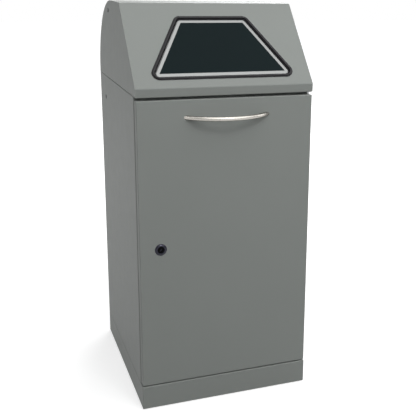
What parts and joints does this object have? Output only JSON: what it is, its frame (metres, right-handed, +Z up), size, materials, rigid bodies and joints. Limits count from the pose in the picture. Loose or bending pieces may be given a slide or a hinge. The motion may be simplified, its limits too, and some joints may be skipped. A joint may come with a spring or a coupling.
{
  "type": "recycling bin",
  "caption": "Floor-standing steel recycling bin: lockable hinged door, sloped hood with a self-closing trapezoid flap, and a bag frame inside.",
  "frame": {"origin": "centre of the bounding box, handle included, on the floor under the glides", "axes": "+Z up, +X to the right seen from the front, -Y out of the door"},
  "size_m": [0.4024, 0.48, 0.91],
  "materials": {
    "powder_coat": "fine satin powder coat, warm mid grey",
    "zinc_steel": "bright zinc plated steel",
    "satin_steel": "satin brushed stainless steel",
    "black_rubber": "black extruded rubber",
    "black_plastic": "black moulded plastic",
    "dark_film": "bare dark film with a slight sheen",
    "nylon": "natural nylon"
  },
  "bodies": {
    "root": {"plinth": "powder_coat", "plinth_glides": "black_plastic", "floor_panel": "powder_coat", "left_side_panel": "powder_coat", "right_side_panel": "powder_coat", "back_panel": "powder_coat", "top_rail": "powder_coat", "hood_shell": "powder_coat", "hood_cheek_left": "powder_coat", "hood_cheek_right": "powder_coat", "hood_screws": "zinc_steel", "side_plugs": "black_plastic", "opening_trim": "black_rubber", "flap_hinge_brackets": "zinc_steel", "flap_hinge_rod": "zinc_steel", "rod_clips": "zinc_steel", "flap_springs": "zinc_steel", "bag_rails": "zinc_steel", "bag_frame": "zinc_steel", "bag_band": "black_rubber", "lower_hinge_pin": "zinc_steel", "upper_hinge_pin": "zinc_steel", "thrust_washer": "nylon", "door_bumpers": "black_rubber"},
    "door": {"door_panel": "powder_coat", "door_stiffener": "zinc_steel", "bow_handle": "satin_steel", "handle_screws": "zinc_steel", "lock_housing": "black_plastic", "lock_nut": "zinc_steel", "lower_hinge_block": "black_plastic", "upper_hinge_block": "black_plastic"},
    "lock": {"lock_cylinder": "black_plastic", "lock_cam": "zinc_steel", "cam_screw": "zinc_steel"},
    "flap": {"flap_plate": "satin_steel", "flap_film": "dark_film"}
  },
  "joints": [
    {"name": "door_hinge", "type": "hinge", "parent": "root", "child": "door", "pos_m": [0.1935, -0.188, 0.39], "axis": [0, 0, 1], "range_deg": [0, 105]},
    {"name": "flap_hinge", "type": "hinge", "parent": "root", "child": "flap", "pos_m": [0, -0.05752, 0.87981], "axis": [1, 0, 0], "range_deg": [0, 65], "stiffness_Nm_per_rad": 0.25, "springref_deg": -103.13, "deforming": ["flap_springs"]},
    {"name": "lock_turn", "type": "hinge", "parent": "door", "child": "lock", "pos_m": [-0.152, -0.2, 0.387], "axis": [0, 1, 0], "range_deg": [0, 90]}
  ]
}
